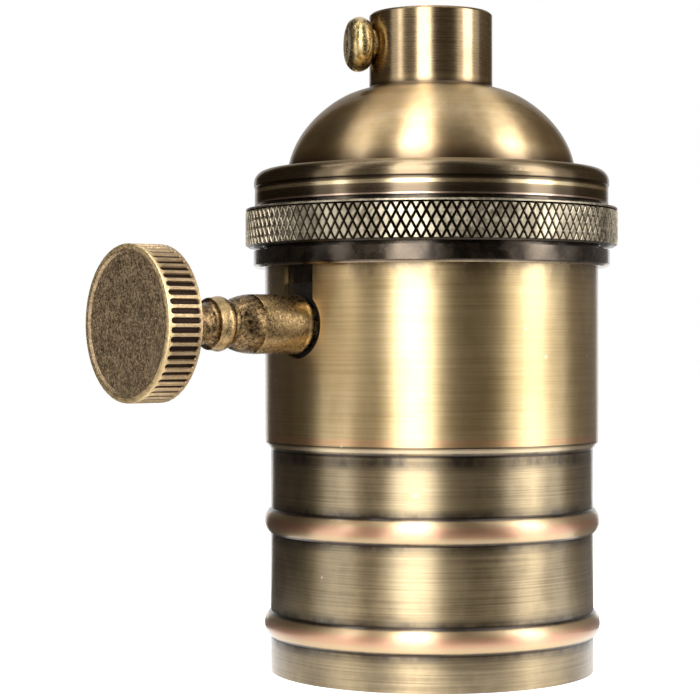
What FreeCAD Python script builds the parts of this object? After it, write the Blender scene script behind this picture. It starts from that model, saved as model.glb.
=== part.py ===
"""Pendant lamp holder for Edison screw lamps, with a rotary switch in its side.

Millimetres. The origin is the centre of the open rim, +Z runs up the axis to the
threaded neck, and the switch stem points along -X.
"""
import FreeCAD, Part
import math
import os
from FreeCAD import Vector

# ---- Fits and clearances ----
SEAT_GAP = 0.02         # between faces that are clamped together
SLIP_GAP = 0.05         # radial, parts that slide together once
RUNNING_GAP = 0.05      # radial, shaft in its bearings
THREAD_GAP = 0.10       # radial, on the plain cylinders that stand for threads
SWITCH_GAP = 0.30       # between the moving and the fixed switch parts
LOOSE_GAP = 0.35        # moulded body inside the sheet shell

# ---- Lamp contacts: the screw shell sets the width of all that is round it ----
SCREW_SHELL_R = 13.30   # major radius inside, E27
SCREW_SHELL_SHEET = 0.40
SCREW_SHELL_MOUTH = 3.00
CONE_IN = 2.70          # the cone's end, inside the cylinder
CONE_RISE = 2.83
HOLE_LAND = 1.50        # from the screws' axes in to the hole for the centre contact
TONGUE_WIDTH = 4.00
TONGUE_SHEET = 0.45
TONGUE_DROP = 1.95
TONGUE_FLAT = 3.60

# ---- Moulded body and switch cover ----
POCKET_GAP = 0.30       # between the screw shell and the body's skirt
SKIRT_WALL = 3.40
MOUTH_FLARE = 1.60
MOUTH_RISE = 1.40
BODY_MOUTH = 1.50
FLOOR_DROP = 0.55       # from the shell's step down to the body's floor
CHAMBER_DEPTH = 6.20    # below the stem's axis
CHAMBER_HEADROOM = 0.80
CHAMBER_HALF = 7.00
CHAMBER_OUT = 9.40      # towards the knob
BOSS_H = 2.97
COVER_EDGE = 1.00       # how far the stem's bore is cut beyond the cover

# ---- Outer shell, one spun sheet ----
SHEET = 0.55
STEP_Z = 25.00
STEP_RISE = 0.80
STEP_OUT = 0.60
BEAD_HEIGHTS = (5.40, 16.95)
BEAD_HALF = 1.45
BEAD_OUT = 0.70
STEM_Z = 39.00
STEM_DROP = 6.45        # from the shell's top edge down to the stem's axis
SLOT_WIDTH = 5.20
EYE_GAP = 0.55          # round the stem's sleeve

# ---- Collar that closes the shell and carries the threads ----
THREAD_OUT = 1.00       # thread's radius beyond the shell's
THREAD_H = 8.15         # from the band's top to the collar's top
THREAD_CHAMFER = 0.50
COLLAR_WALL = 2.00
SPIGOT_DROP = 1.90
BAND_OUT = 0.90
BAND_H = 1.90
BAND_CHAMFER = 0.30
RELIEF_IN = 0.30
RELIEF_H = 0.60

# ---- Knurled ring on the collar's thread ----
RING_WALL = 1.70
RING_LIFT = 0.40        # above the band
RING_H = 4.36
KNURL_COLUMNS = 125
KNURL_ROWS = 2
KNURL_DEPTH = 0.28
KNURL_FLAT = 0.72       # share of each diamond that is left flat on top

# ---- Dome cap with its neck ----
CAP_LIFT = 0.49         # above the ring
CAP_SKIRT = 0.75        # wall outside the thread
CAP_LINE_H = 1.90       # height of the turned line up the flange
CAP_LINE = 0.10
CAP_FLANGE_H = 3.85
CAP_FILLET = 1.40
CAP_LEDGE = 3.75        # from the flange's edge in to the dome
CAP_WALL = 0.90
DOME_H = 12.07
DOME_BASE = 2.70        # height of the ellipse's centre above the flange's foot
CROWN_SHARE = 0.683     # of the dome's radius: inside it the dome flattens to its crown
CROWN_RISE = 1.66
NECK_R = 7.00
NECK_H = 21.74          # neck's top above the flange's foot
NECK_TAP_R = 4.55       # M10 x 1
NECK_BEVEL = 0.25

# ---- Set screw in the neck ----
SET_DROP = 3.64         # below the neck's top
SET_ANGLE = 155.0       # degrees from +X towards +Y
SET_R = 2.00            # M4
SET_HEAD_R = 3.10
SET_HEAD_H = 2.75
SET_FACE_R = 1.90
SLOT_SHARE = 0.30       # width of a screwdriver slot, as a share of the head's radius

# ---- Knob, turned in one piece with its stem ----
SLEEVE_SINK = 0.15      # sleeve's end inside the shell's sheet
SLEEVE_R = 3.20
SLEEVE_LENGTH = 6.25
TAPER_LENGTH = 2.75
TAPER_BULGE = 0.18
TAPER_BULGE_AT = 1.50
BARREL_R = 2.50
WAIST_R = 2.42          # between the taper and the bead
WAIST_LENGTH = 0.85
BEAD_RING_R = 2.94
BEAD_RING_HALF = 0.60
BELL_LENGTH = 0.70      # from the bead to the shoulder
BELL_FALL = 0.22        # its shoulder below the bead's crest
NECKING_R = 2.15
NECKING_LENGTH = 0.65   # hollow from the shoulder down to the necking
NECKING_SAG = 0.13
KNOB_REACH = 11.35      # from the bead's middle to the face
KNOB_R = 8.20
KNOB_THICK = 4.15
KNOB_ROOT = 1.00        # hollow fillet between stem and disc
KNOB_ROOT_SAG = 0.30
KNOB_TEETH = 53
KNOB_GROOVE_R = 0.29
KNOB_GROOVE_DEPTH = 0.26
KNOB_LAND = 0.45        # plain edge behind the front chamfer
KNOB_BEVEL = 0.45
RIM_WIDTH = 0.65
FACE_DEPTH = 0.22

# ---- Switch: shaft, bush, rotor and contacts ----
SHAFT_R = 1.75
SHAFT_GRIP = 8.00       # length held in the knob
BUSH_WALL = 1.00
BUSH_FLANGE_OUT = 1.10
BUSH_FLANGE = 0.80
BUSH_IN = 0.40          # bush's end inside the cover's edge
ROTOR_SQUARE = 6.00     # across flats
ROTOR_CORNER_R = 3.20
ROTOR_NECK_R = 2.90     # under the contact strap
ROTOR_DRIVE = 2.50      # square hole for the shaft
CAM_LENGTH = 5.40
STRAP_LENGTH = 4.60
ROTOR_END_LAND = 0.80
STRAP_SHEET = 0.35
STRAP_SWEEP = 196.0     # degrees
JOURNAL_R = 1.10
JOURNAL_LENGTH = 3.00
CLIP_OUT = 1.20
CLIP_THICK = 0.50
CLIP_MOUTH = 0.80       # half the clip's gap, as a share of the journal's radius
SPRING_SHEET = 0.30
SPRING_WIDTH = 3.60
SPRING_FOOT = 1.00
SPRING_CROWN = 2.40     # half the length of the spring's flat top

# ---- Terminals, rivet and screws ----
STRIP_WIDTH = 4.60
BLADE_SHEET = 0.40
TERMINAL_SHEET = 0.60
LINE_SCREW_Y = 9.60
NEUTRAL_IN = 0.30       # neutral strip's outer face inside the screw shell's radius
NEUTRAL_TAB = 4.40      # from that face in to the terminal screw's axis
RIVET_Y = -5.45
RIVET_R = 0.90
RIVET_HEAD_R = 1.35
RIVET_HEAD = 0.60
RIVET_CROWN = 0.50      # flat of the rivet's head, as a share of its radius
SHELL_SCREW_IN = 1.50   # screw's axis inside the cone's end
SHELL_SCREW_R = 1.00
SHELL_SCREW_HEAD_R = 1.45
SHELL_SCREW_HEAD = 0.90
SHELL_SCREW_LENGTH = 5.00
CLAMP_SCREW_R = 1.50
CLAMP_SCREW_HEAD_R = 2.80
CLAMP_SCREW_HEAD = 1.60
TERMINAL_SCREW_LENGTH = 2.30
BODY_SCREW_IN = 3.10    # screw's axis inside the boss
BODY_SCREW_ANGLE = -52.3    # degrees from +X
BODY_SCREW_HEAD_R = 2.50
BODY_SCREW_DEPTH = 9.00
HEAD_EDGE = 0.45        # straight edge of a pan head, as a share of its height
HEAD_CROWN = 0.66       # flat of a pan head, as a share of its radius
DISC_THICK = 0.40
DISC_HOLE_R = 4.50

# ---- Sizes that follow from the ones above ----
POCKET_R = SCREW_SHELL_R + SCREW_SHELL_SHEET + POCKET_GAP
MOUTH_R = POCKET_R + MOUTH_FLARE
SKIRT_R = POCKET_R + SKIRT_WALL
SHELL_BORE_R = SKIRT_R + LOOSE_GAP
SHELL_R = SHELL_BORE_R + SHEET
SHELL_TOP = STEM_Z + STEM_DROP
UPPER_BORE_R = SHELL_BORE_R + STEP_OUT
EYE_R = SLEEVE_R + EYE_GAP
THREAD_R = SHELL_R + THREAD_OUT
COLLAR_BORE_R = THREAD_R - COLLAR_WALL
SPIGOT_R = UPPER_BORE_R - SLIP_GAP
SPIGOT_END = SHELL_TOP - SPIGOT_DROP
BAND_R = THREAD_R + BAND_OUT
BAND_TOP = SHELL_TOP + BAND_H
RELIEF_R = THREAD_R - RELIEF_IN
THREAD_TOP = BAND_TOP + THREAD_H
RING_BORE_R = THREAD_R + THREAD_GAP
RING_R = RING_BORE_R + RING_WALL
RING_Z = BAND_TOP + RING_LIFT
CAP_SEAT = THREAD_TOP + SEAT_GAP + DISC_THICK
CAP_Z = RING_Z + RING_H + CAP_LIFT
CAP_LINE_Z = CAP_Z + CAP_LINE_H
CAP_TOP = CAP_Z + CAP_FLANGE_H
CAP_BORE_R = THREAD_R + THREAD_GAP
CAP_R = CAP_BORE_R + CAP_SKIRT
DOME_R = CAP_R - CAP_LEDGE
DOME_Z = CAP_Z + DOME_BASE
NECK_TOP = CAP_Z + NECK_H
SET_Z = NECK_TOP - SET_DROP
SLEEVE_END = SHELL_R + STEP_OUT - SLEEVE_SINK
SLEEVE_AT = SLEEVE_END + SLEEVE_LENGTH
BARREL_AT = SLEEVE_AT + TAPER_LENGTH
BEAD_RING_AT = BARREL_AT + WAIST_LENGTH + BEAD_RING_HALF
BELL_END = BEAD_RING_AT + BEAD_RING_HALF + BELL_LENGTH
BELL_R = BEAD_RING_R - BELL_FALL
KNOB_FRONT = BEAD_RING_AT + KNOB_REACH
KNOB_BACK = KNOB_FRONT - KNOB_THICK
FACE_R = KNOB_R - RIM_WIDTH
SHAFT_END = SLEEVE_END + SHAFT_GRIP
COVER_R = UPPER_BORE_R - SLIP_GAP
COVER_TOP = SPIGOT_END - SEAT_GAP
BOSS_R = COLLAR_BORE_R - SWITCH_GAP
BOSS_TOP = COVER_TOP + BOSS_H
BUSH_BORE_R = SHAFT_R + RUNNING_GAP
BUSH_R = BUSH_BORE_R + BUSH_WALL
BUSH_FLANGE_R = BUSH_R + BUSH_FLANGE_OUT
BUSH_END = COVER_R - BUSH_IN
CLIP_R = JOURNAL_R + CLIP_OUT
ROTOR_OUT = CHAMBER_OUT - BUSH_FLANGE - SWITCH_GAP
ROTOR_LENGTH = CAM_LENGTH + STRAP_LENGTH + ROTOR_END_LAND
ROTOR_IN = ROTOR_OUT - ROTOR_LENGTH
CHAMBER_IN = ROTOR_IN - CLIP_THICK - 2 * SWITCH_GAP
CHAMBER_FLOOR = STEM_Z - CHAMBER_DEPTH
CHAMBER_ROOF = STEM_Z + ROTOR_CORNER_R + CHAMBER_HEADROOM
STRAP_OUT = ROTOR_OUT - CAM_LENGTH
STRAP_MID = STRAP_OUT - STRAP_LENGTH / 2
STRAP_R = ROTOR_NECK_R + STRAP_SHEET
BLADE_Y = STRAP_R + SWITCH_GAP
BODY_FLOOR = STEP_Z - FLOOR_DROP
FOOT_Z = BODY_FLOOR + TERMINAL_SHEET
SHELL_BASE_Z = BODY_FLOOR - SEAT_GAP
SCREW_SHELL_BEND = SHELL_BASE_Z - CONE_RISE
CONE_R = SCREW_SHELL_R - CONE_IN
SHELL_SCREW_X = CONE_R - SHELL_SCREW_IN
CONTACT_HOLE_R = SHELL_SCREW_X - HOLE_LAND
NEUTRAL_X = SCREW_SHELL_R - NEUTRAL_IN
NEUTRAL_SCREW_X = NEUTRAL_X - NEUTRAL_TAB
BODY_SCREW_R = BOSS_R - BODY_SCREW_IN
UP = Vector(0, 0, 1)


def turned(start, *moves):
    """Revolve an outline of (radius, height) points; a move of two points is an arc."""
    edges = []
    here = Vector(start[0], 0, start[1])
    for move in moves + (start,):
        if isinstance(move[0], tuple):
            through, end = (Vector(r, 0, z) for r, z in move)
            edges.append(Part.Arc(here, through, end).toShape())
        else:
            end = Vector(move[0], 0, move[1])
            edges.append(Part.LineSegment(here, end).toShape())
        here = end
    return Part.Face(Part.Wire(edges)).revolve(Vector(), UP, 360)


def tube(outer_r, bore_r, low, high):
    """Plain ring about Z between two heights."""
    outer = Part.makeCylinder(outer_r, high - low, Vector(0, 0, low))
    return outer.cut(Part.makeCylinder(bore_r, high - low, Vector(0, 0, low)))


def rod(radius, low, high, x=0.0, y=0.0):
    """Upright cylinder between two heights."""
    return Part.makeCylinder(radius, high - low, Vector(x, y, low))


def block(x, y, z):
    """Box from three (low, high) pairs."""
    return Part.makeBox(x[1] - x[0], y[1] - y[0], z[1] - z[0], Vector(x[0], y[0], z[0]))


def strip(points, sheet, width, middle=0.0):
    """Sheet of even thickness folded along (y, z) points, its width along X."""
    left, right = [], []
    last = len(points) - 1
    for i, (y, z) in enumerate(points):
        before = Vector(0, *points[max(i - 1, 0)])
        after = Vector(0, *points[min(i + 1, last)])
        here = Vector(0, y, z)
        into = (here - before if i else after - here).normalize()
        out = (after - here if i < last else here - before).normalize()
        normal = Vector(0, -into.z - out.z, into.y + out.y).normalize()
        reach = sheet / (normal.dot(Vector(0, -into.z, into.y)))
        left.append(here)
        right.insert(0, here + normal * reach)
    outline = Part.makePolygon(left + right + [left[0]])
    outline.translate(Vector(middle - width / 2, 0, 0))
    return Part.Face(outline).extrude(Vector(width, 0, 0))


def along_stem(shape):
    """Stand a shape made about Z on the stem's axis: its +Z becomes -X."""
    shape.rotate(Vector(), Vector(0, 1, 0), -90)
    shape.translate(Vector(0, 0, STEM_Z))
    return shape


def stem_rod(radius, near, far):
    """Cylinder on the stem's axis between two distances from the main axis."""
    return along_stem(rod(radius, near, far))


def pan_screw(shank_r, length, head_r, head_h):
    """Slotted screw with its head's seat at the origin and its shank along -Z."""
    crown = (head_r * HEAD_CROWN, head_h)
    shoulder = (head_r * 0.92, head_h * 0.85)
    head = turned((0, 0), (head_r, 0), (head_r, head_h * HEAD_EDGE), (shoulder, crown), (0, head_h))
    slot_half = head_r * SLOT_SHARE / 2
    slot = block((-head_r, head_r), (-slot_half, slot_half), (head_h * 0.5, head_h * 2))
    return head.fuse(rod(shank_r, -length, 0)).cut(slot)


def shell_outline_side(radius):
    """Moves up one face of the spun sheet: two beads, then the step."""
    moves = []
    for z in BEAD_HEIGHTS:
        moves.append((radius, z - BEAD_HALF))
        moves.append(((radius + BEAD_OUT, z), (radius, z + BEAD_HALF)))
    moves.append((radius, STEP_Z))
    moves.append((radius + STEP_OUT, STEP_Z + STEP_RISE))
    moves.append((radius + STEP_OUT, SHELL_TOP))
    return moves


def shell():
    """Spun sheet with two beads, a step and a keyhole for the switch stem."""
    outer = turned((0, 0), (SHELL_R, 0), *shell_outline_side(SHELL_R), (0, SHELL_TOP))
    inner = turned((0, 0), (SHELL_BORE_R, 0), *shell_outline_side(SHELL_BORE_R), (0, SHELL_TOP))
    sheet = outer.cut(inner)
    reach = SHELL_R + 2 * STEP_OUT
    half = SLOT_WIDTH / 2
    slot = block((-reach, -reach / 2), (-half, half), (STEM_Z, SHELL_TOP + SHEET))
    return sheet.cut([slot, stem_rod(EYE_R, reach / 2, reach)])


def collar():
    """Turned ring: spigot in the shell, band on its edge, relief and thread above."""
    return turned(
        (COLLAR_BORE_R, SPIGOT_END),
        (SPIGOT_R, SPIGOT_END),
        (SPIGOT_R, SHELL_TOP),
        (BAND_R - BAND_CHAMFER, SHELL_TOP),
        (BAND_R, SHELL_TOP + BAND_CHAMFER),
        (BAND_R, BAND_TOP),
        (RELIEF_R, BAND_TOP),
        (RELIEF_R, BAND_TOP + RELIEF_H),
        (THREAD_R, BAND_TOP + RELIEF_H),
        (THREAD_R, THREAD_TOP - THREAD_CHAMFER),
        (THREAD_R - THREAD_CHAMFER, THREAD_TOP),
        (COLLAR_BORE_R, THREAD_TOP),
    )


def on_ring(column, height, radius):
    """Point of the knurl, counted in columns round the ring."""
    angle = 2 * math.pi * column / KNURL_COLUMNS
    return Vector(radius * math.cos(angle), radius * math.sin(angle), height)


def diamond(column, height, half_row, ways=(1, -1)):
    """Facets of one flat-topped diamond, or of the half of it that lies one way up."""
    root = RING_R - KNURL_DEPTH
    corners = [(0.5, 0), (0, 1), (-0.5, 0), (0, -1)]
    if len(ways) == 1:
        corners = [(0.5 * ways[0], 0), (0, ways[0]), (-0.5 * ways[0], 0)]
    low = [on_ring(column + c, height + h * half_row, root) for c, h in corners]
    top = [on_ring(column + c * KNURL_FLAT, height + h * half_row * KNURL_FLAT, RING_R)
           for c, h in corners]
    facets = [(top[0], top[1], top[-1])]
    if len(corners) == 4:
        facets.append((top[1], top[2], top[3]))
    walls = len(corners) if len(corners) == 4 else 2
    for i in range(walls):
        j = (i + 1) % len(corners)
        facets.append((low[i], low[j], top[j]))
        facets.append((low[i], top[j], top[i]))
    return facets


def knurl_edge(height):
    """Flat end face of the knurled blank, with the grooves running out at its edge."""
    side = KNURL_FLAT / 2
    points = []
    for column in range(KNURL_COLUMNS):
        points.append(on_ring(column, height, RING_R - KNURL_DEPTH))
        points.append(on_ring(column + 0.5 - side, height, RING_R))
        points.append(on_ring(column + 0.5 + side, height, RING_R))
    return Part.Face(Part.makePolygon(points + [points[0]]))


def knurled_ring():
    """Ring with two crossed rows of grooves that leave flat-topped diamonds."""
    half_row = RING_H / KNURL_ROWS / 2
    facets = []
    for column in range(KNURL_COLUMNS):
        for row in range(KNURL_ROWS):
            facets += diamond(column, (2 * row + 1) * half_row, half_row)
        for row in range(1, KNURL_ROWS):
            facets += diamond(column + 0.5, 2 * row * half_row, half_row)
        facets += diamond(column + 0.5, 0, half_row, (1,))
        facets += diamond(column + 0.5, RING_H, half_row, (-1,))
    faces = [Part.Face(Part.makePolygon([a, b, c, a])) for a, b, c in facets]
    skin = Part.makeCompound(faces + [knurl_edge(0), knurl_edge(RING_H)])
    skin.sewShape(1e-4)
    blank = Part.makeSolid(skin.Shells[0])
    if blank.Volume < 0:
        blank.reverse()
    ring = blank.cut(Part.makeCylinder(RING_BORE_R, RING_H))
    ring.translate(Vector(0, 0, RING_Z))
    return ring


def dome_edge(radius, height, low_z, high_r):
    """Arc of the dome's ellipse from a height up to a radius."""
    centre = Vector(0, 0, DOME_Z)
    ellipse = Part.Ellipse(centre + Vector(radius, 0, 0), centre + Vector(0, 0, height), centre)
    low = math.asin((low_z - DOME_Z) / height)
    high = math.acos(high_r / radius)
    return Part.ArcOfEllipse(ellipse, low, high).toShape()


def crown_arc(start):
    """Arc that leaves the dome smoothly at a point and ends at the neck's foot."""
    end = Vector(NECK_R + NECK_BEVEL, 0, start.z + CROWN_RISE)
    chord = end - start
    fall = (start.x / DOME_R) * DOME_H / DOME_R / math.sqrt(1 - (start.x / DOME_R) ** 2)
    bend = math.atan(fall) - math.atan(chord.z / -chord.x)
    sag = chord.Length / 2 * math.tan(bend / 2)
    across = Vector(chord.z, 0, -chord.x).normalize()
    return Part.Arc(start, start + chord * 0.5 + across * sag, end).toShape()


def joined(edges_and_points):
    """Closed wire through shaped edges and (radius, height) points, in order."""
    edges = []
    here = None
    for item in edges_and_points:
        shaped = not isinstance(item, tuple)
        ends = [v.Point for v in item.Vertexes] if shaped else [Vector(item[0], 0, item[1])]
        if here is not None:
            ends.sort(key=here.distanceToPoint)
            if ends[0].distanceToPoint(here) > 1e-7:
                edges.append(Part.LineSegment(here, ends[0]).toShape())
        if shaped:
            edges.append(item)
        here = ends[-1]
    return Part.Wire(edges)


def dome_cap():
    """Spun cap: flange with an inner thread, dome, and neck tapped for the nipple."""
    lower_r = CAP_R - CAP_LINE
    corner = CAP_R - CAP_FILLET
    low_corner = Vector(CAP_R, 0, CAP_TOP - CAP_FILLET)
    sweep = CAP_FILLET * math.sqrt(0.5)
    fillet = Part.Arc(low_corner, Vector(corner + sweep, 0, CAP_TOP - CAP_FILLET + sweep),
                      Vector(corner, 0, CAP_TOP)).toShape()
    outer_dome = dome_edge(DOME_R, DOME_H, CAP_TOP, DOME_R * CROWN_SHARE)
    crown = crown_arc(outer_dome.valueAt(outer_dome.LastParameter))
    inner_dome = dome_edge(DOME_R - CAP_WALL, DOME_H - CAP_WALL, CAP_SEAT, NECK_TAP_R)
    foot_z = max(v.Z for v in crown.Vertexes)
    start = (CAP_BORE_R, CAP_Z)
    wire = joined([
        start,
        (lower_r, CAP_Z),
        (lower_r, CAP_LINE_Z),
        (CAP_R, CAP_LINE_Z + CAP_LINE),
        fillet,
        outer_dome,
        crown,
        (NECK_R, foot_z + NECK_BEVEL),
        (NECK_R, NECK_TOP - NECK_BEVEL),
        (NECK_R - NECK_BEVEL, NECK_TOP),
        (NECK_TAP_R, NECK_TOP),
        inner_dome,
        (CAP_BORE_R - THREAD_CHAMFER, CAP_SEAT),
        (CAP_BORE_R, CAP_SEAT - THREAD_CHAMFER),
        start,
    ])
    cap = Part.Face(wire).revolve(Vector(), UP, 360)
    return cap.cut(from_neck(Part.makeCylinder(SET_R, NECK_R * 2)))


def from_neck(shape):
    """Lay a shape made about Z from the axis out through the set screw's hole."""
    shape.rotate(Vector(), Vector(0, 1, 0), 90)
    shape.rotate(Vector(), UP, SET_ANGLE)
    shape.translate(Vector(0, 0, SET_Z))
    return shape


def set_screw():
    """Round-headed screw whose tip stands just outside the neck's thread."""
    seat = NECK_R + SEAT_GAP
    tip = NECK_TAP_R + THREAD_GAP
    head = turned((0, 0), (SET_FACE_R, 0),
                  ((SET_HEAD_R, SET_HEAD_H / 2), (SET_FACE_R, SET_HEAD_H)), (0, SET_HEAD_H))
    slot_half = SET_HEAD_R * SLOT_SHARE / 2
    deep = SET_HEAD_H * 0.6
    slot = block((-SET_HEAD_R, SET_HEAD_R), (-slot_half, slot_half), (deep, SET_HEAD_H * 2))
    screw = head.fuse(rod(SET_R - SLIP_GAP, tip - seat, 0)).cut(slot)
    screw.translate(Vector(0, 0, seat))
    return from_neck(screw)


def knob():
    """Toothed disc and stem, turned in one piece; blind bore for the shaft."""
    front = KNOB_FRONT
    hollow_r = (BELL_R + NECKING_R) / 2 - NECKING_SAG
    hollow_at = BELL_END + NECKING_LENGTH / 2 - NECKING_SAG
    blank = turned(
        (0, SLEEVE_END),
        (SLEEVE_R, SLEEVE_END),
        (SLEEVE_R, SLEEVE_AT),
        ((SLEEVE_R - TAPER_BULGE, SLEEVE_AT + TAPER_BULGE_AT), (BARREL_R, BARREL_AT)),
        (WAIST_R, BEAD_RING_AT - BEAD_RING_HALF),
        ((BEAD_RING_R, BEAD_RING_AT), (BEAD_RING_R - BELL_FALL / 2, BEAD_RING_AT + BEAD_RING_HALF)),
        (BELL_R, BELL_END),
        ((hollow_r, hollow_at), (NECKING_R, BELL_END + NECKING_LENGTH)),
        (NECKING_R, KNOB_BACK - KNOB_ROOT),
        ((NECKING_R + KNOB_ROOT_SAG, KNOB_BACK - KNOB_ROOT_SAG), (NECKING_R + KNOB_ROOT, KNOB_BACK)),
        (KNOB_R - KNOB_BEVEL, KNOB_BACK),
        (KNOB_R, KNOB_BACK + KNOB_BEVEL),
        (KNOB_R, front - KNOB_BEVEL),
        (KNOB_R - KNOB_BEVEL, front),
        (FACE_R, front),
        (FACE_R, front - FACE_DEPTH),
        (0, front - FACE_DEPTH),
    )
    grooves = []
    axis_r = KNOB_R + KNOB_GROOVE_R - KNOB_GROOVE_DEPTH
    for tooth in range(KNOB_TEETH):
        groove = rod(KNOB_GROOVE_R, KNOB_BACK - KNOB_LAND, front - KNOB_LAND, axis_r)
        groove.rotate(Vector(), UP, 360 * tooth / KNOB_TEETH)
        grooves.append(groove)
    bore = rod(SHAFT_R + SEAT_GAP, SLEEVE_END, SHAFT_END + SEAT_GAP)
    return along_stem(blank.cut(grooves).cut(bore))


def switch_shaft():
    """Round where it runs in the bush, square in the rotor, journal at its inner end."""
    round_part = rod(SHAFT_R, ROTOR_OUT, SHAFT_END)
    half = ROTOR_DRIVE / 2 - SEAT_GAP
    square = block((-half, half), (-half, half), (ROTOR_IN, ROTOR_OUT))
    journal = rod(JOURNAL_R, ROTOR_IN - CLIP_THICK - JOURNAL_LENGTH, ROTOR_IN)
    return along_stem(round_part.fuse([square, journal]))


def shaft_clip():
    """Open clip on the journal, against the rotor's inner end."""
    top = ROTOR_IN - SEAT_GAP
    clip = tube(CLIP_R, JOURNAL_R + SEAT_GAP, top - CLIP_THICK, top)
    half = JOURNAL_R * CLIP_MOUTH
    mouth = block((-half, half), (0, CLIP_R * 2), (top - 2 * CLIP_THICK, top + CLIP_THICK))
    return along_stem(clip.cut(mouth))


def rotor():
    """Moulded rotor: four-sided cam, round seat for the strap, end land."""
    half = ROTOR_SQUARE / 2
    cam = block((-half, half), (-half, half), (STRAP_OUT, ROTOR_OUT))
    cam = cam.common(rod(ROTOR_CORNER_R, STRAP_OUT, ROTOR_OUT))
    seat = rod(ROTOR_NECK_R, STRAP_OUT - STRAP_LENGTH, STRAP_OUT)
    land = rod(STRAP_R, ROTOR_IN, STRAP_OUT - STRAP_LENGTH)
    drive = ROTOR_DRIVE / 2
    hole = block((-drive, drive), (-drive, drive), (ROTOR_IN, ROTOR_OUT))
    return along_stem(cam.fuse([seat, land]).cut(hole))


def rotor_strap():
    """Half-round brass strap that bridges the two fixed contacts every half turn."""
    low = STRAP_OUT - STRAP_LENGTH + SEAT_GAP
    high = STRAP_OUT - SEAT_GAP
    half = STRAP_SHEET / 2
    profile = block((ROTOR_NECK_R + SEAT_GAP, STRAP_R), (0, half), (low, high))
    face = min(profile.Faces, key=lambda f: f.CenterOfMass.y)
    strap = face.revolve(Vector(), UP, STRAP_SWEEP)
    strap.rotate(Vector(), UP, 90 - STRAP_SWEEP / 2)
    return along_stem(strap)


def shaft_bush():
    """Flanged brass bearing held between the body and its cover."""
    seat = CHAMBER_OUT - SEAT_GAP
    return along_stem(turned(
        (BUSH_BORE_R, CHAMBER_OUT - BUSH_FLANGE),
        (BUSH_FLANGE_R, CHAMBER_OUT - BUSH_FLANGE),
        (BUSH_FLANGE_R, seat),
        (BUSH_R, seat),
        (BUSH_R, BUSH_END),
        (BUSH_BORE_R, BUSH_END),
    ))


def index_spring():
    """Bowed leaf under the cam, its feet on the chamber's floor."""
    crown = STEM_Z - ROTOR_CORNER_R - RUNNING_GAP * 2 - SPRING_SHEET
    foot = CHAMBER_FLOOR + SEAT_GAP
    side = CHAMBER_HALF - SWITCH_GAP
    middle = -(ROTOR_OUT - CAM_LENGTH / 2)
    rise = side - SPRING_FOOT
    bow = [(-side, foot), (-rise, foot), (-SPRING_CROWN, crown)]
    bow += [(-y, z) for y, z in reversed(bow)]
    return strip(bow, SPRING_SHEET, SPRING_WIDTH, middle)


def lamp_blade():
    """Fixed contact on the lamp's side, its foot under the head of the centre rivet."""
    foot = CHAMBER_FLOOR + SEAT_GAP
    folded = strip([(RIVET_Y - RIVET_HEAD_R, foot), (-BLADE_Y, foot), (-BLADE_Y, STEM_Z + ROTOR_NECK_R)],
                   BLADE_SHEET, STRIP_WIDTH, -STRAP_MID)
    hole_r = RIVET_R + SEAT_GAP
    return folded.cut(rod(hole_r, CHAMBER_FLOOR, foot + 2 * BLADE_SHEET, -STRAP_MID, RIVET_Y))


def line_terminal():
    """One folded strip: fixed contact in the chamber, terminal tab on the cover."""
    tab = BOSS_TOP + SEAT_GAP
    outer = BLADE_Y + BLADE_SHEET
    end = LINE_SCREW_Y + CLAMP_SCREW_HEAD_R
    folded = strip([(outer, CHAMBER_FLOOR + SEAT_GAP), (outer, tab), (end, tab)],
                   BLADE_SHEET, STRIP_WIDTH, -STRAP_MID)
    hole_r = CLAMP_SCREW_R + SEAT_GAP
    return folded.cut(rod(hole_r, BOSS_TOP, tab + 2 * BLADE_SHEET, -STRAP_MID, LINE_SCREW_Y))


def neutral_terminal():
    """One folded strip from the screw shell's base up to the tab on the cover."""
    tab = BOSS_TOP + SEAT_GAP
    foot_end = SHELL_SCREW_X - SHELL_SCREW_HEAD_R
    tab_end = NEUTRAL_SCREW_X - CLAMP_SCREW_HEAD_R
    folded = strip([(foot_end, BODY_FLOOR), (NEUTRAL_X, BODY_FLOOR),
                    (NEUTRAL_X, tab + TERMINAL_SHEET), (tab_end, tab + TERMINAL_SHEET)],
                   TERMINAL_SHEET, STRIP_WIDTH)
    folded.rotate(Vector(), UP, -90)
    foot_hole = rod(SHELL_SCREW_R + SEAT_GAP, SHELL_BASE_Z, FOOT_Z, SHELL_SCREW_X)
    tab_hole = rod(CLAMP_SCREW_R + SEAT_GAP, BOSS_TOP, tab + 2 * TERMINAL_SHEET, NEUTRAL_SCREW_X)
    return folded.cut([foot_hole, tab_hole])


def centre_contact():
    """Springy tongue that meets the lamp's tip, riveted at one side of the floor."""
    base = BODY_FLOOR - SEAT_GAP
    bend = RIVET_Y + RIVET_HEAD_R + SWITCH_GAP
    tongue = strip([(RIVET_Y - RIVET_HEAD_R, base), (bend, base),
                    (-TONGUE_FLAT / 2, base - TONGUE_DROP), (TONGUE_FLAT / 2, base - TONGUE_DROP)],
                   -TONGUE_SHEET, TONGUE_WIDTH, -STRAP_MID)
    hole_r = RIVET_R + SEAT_GAP
    return tongue.cut(rod(hole_r, base - 2 * TONGUE_SHEET, base + TONGUE_SHEET, -STRAP_MID, RIVET_Y))


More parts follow.
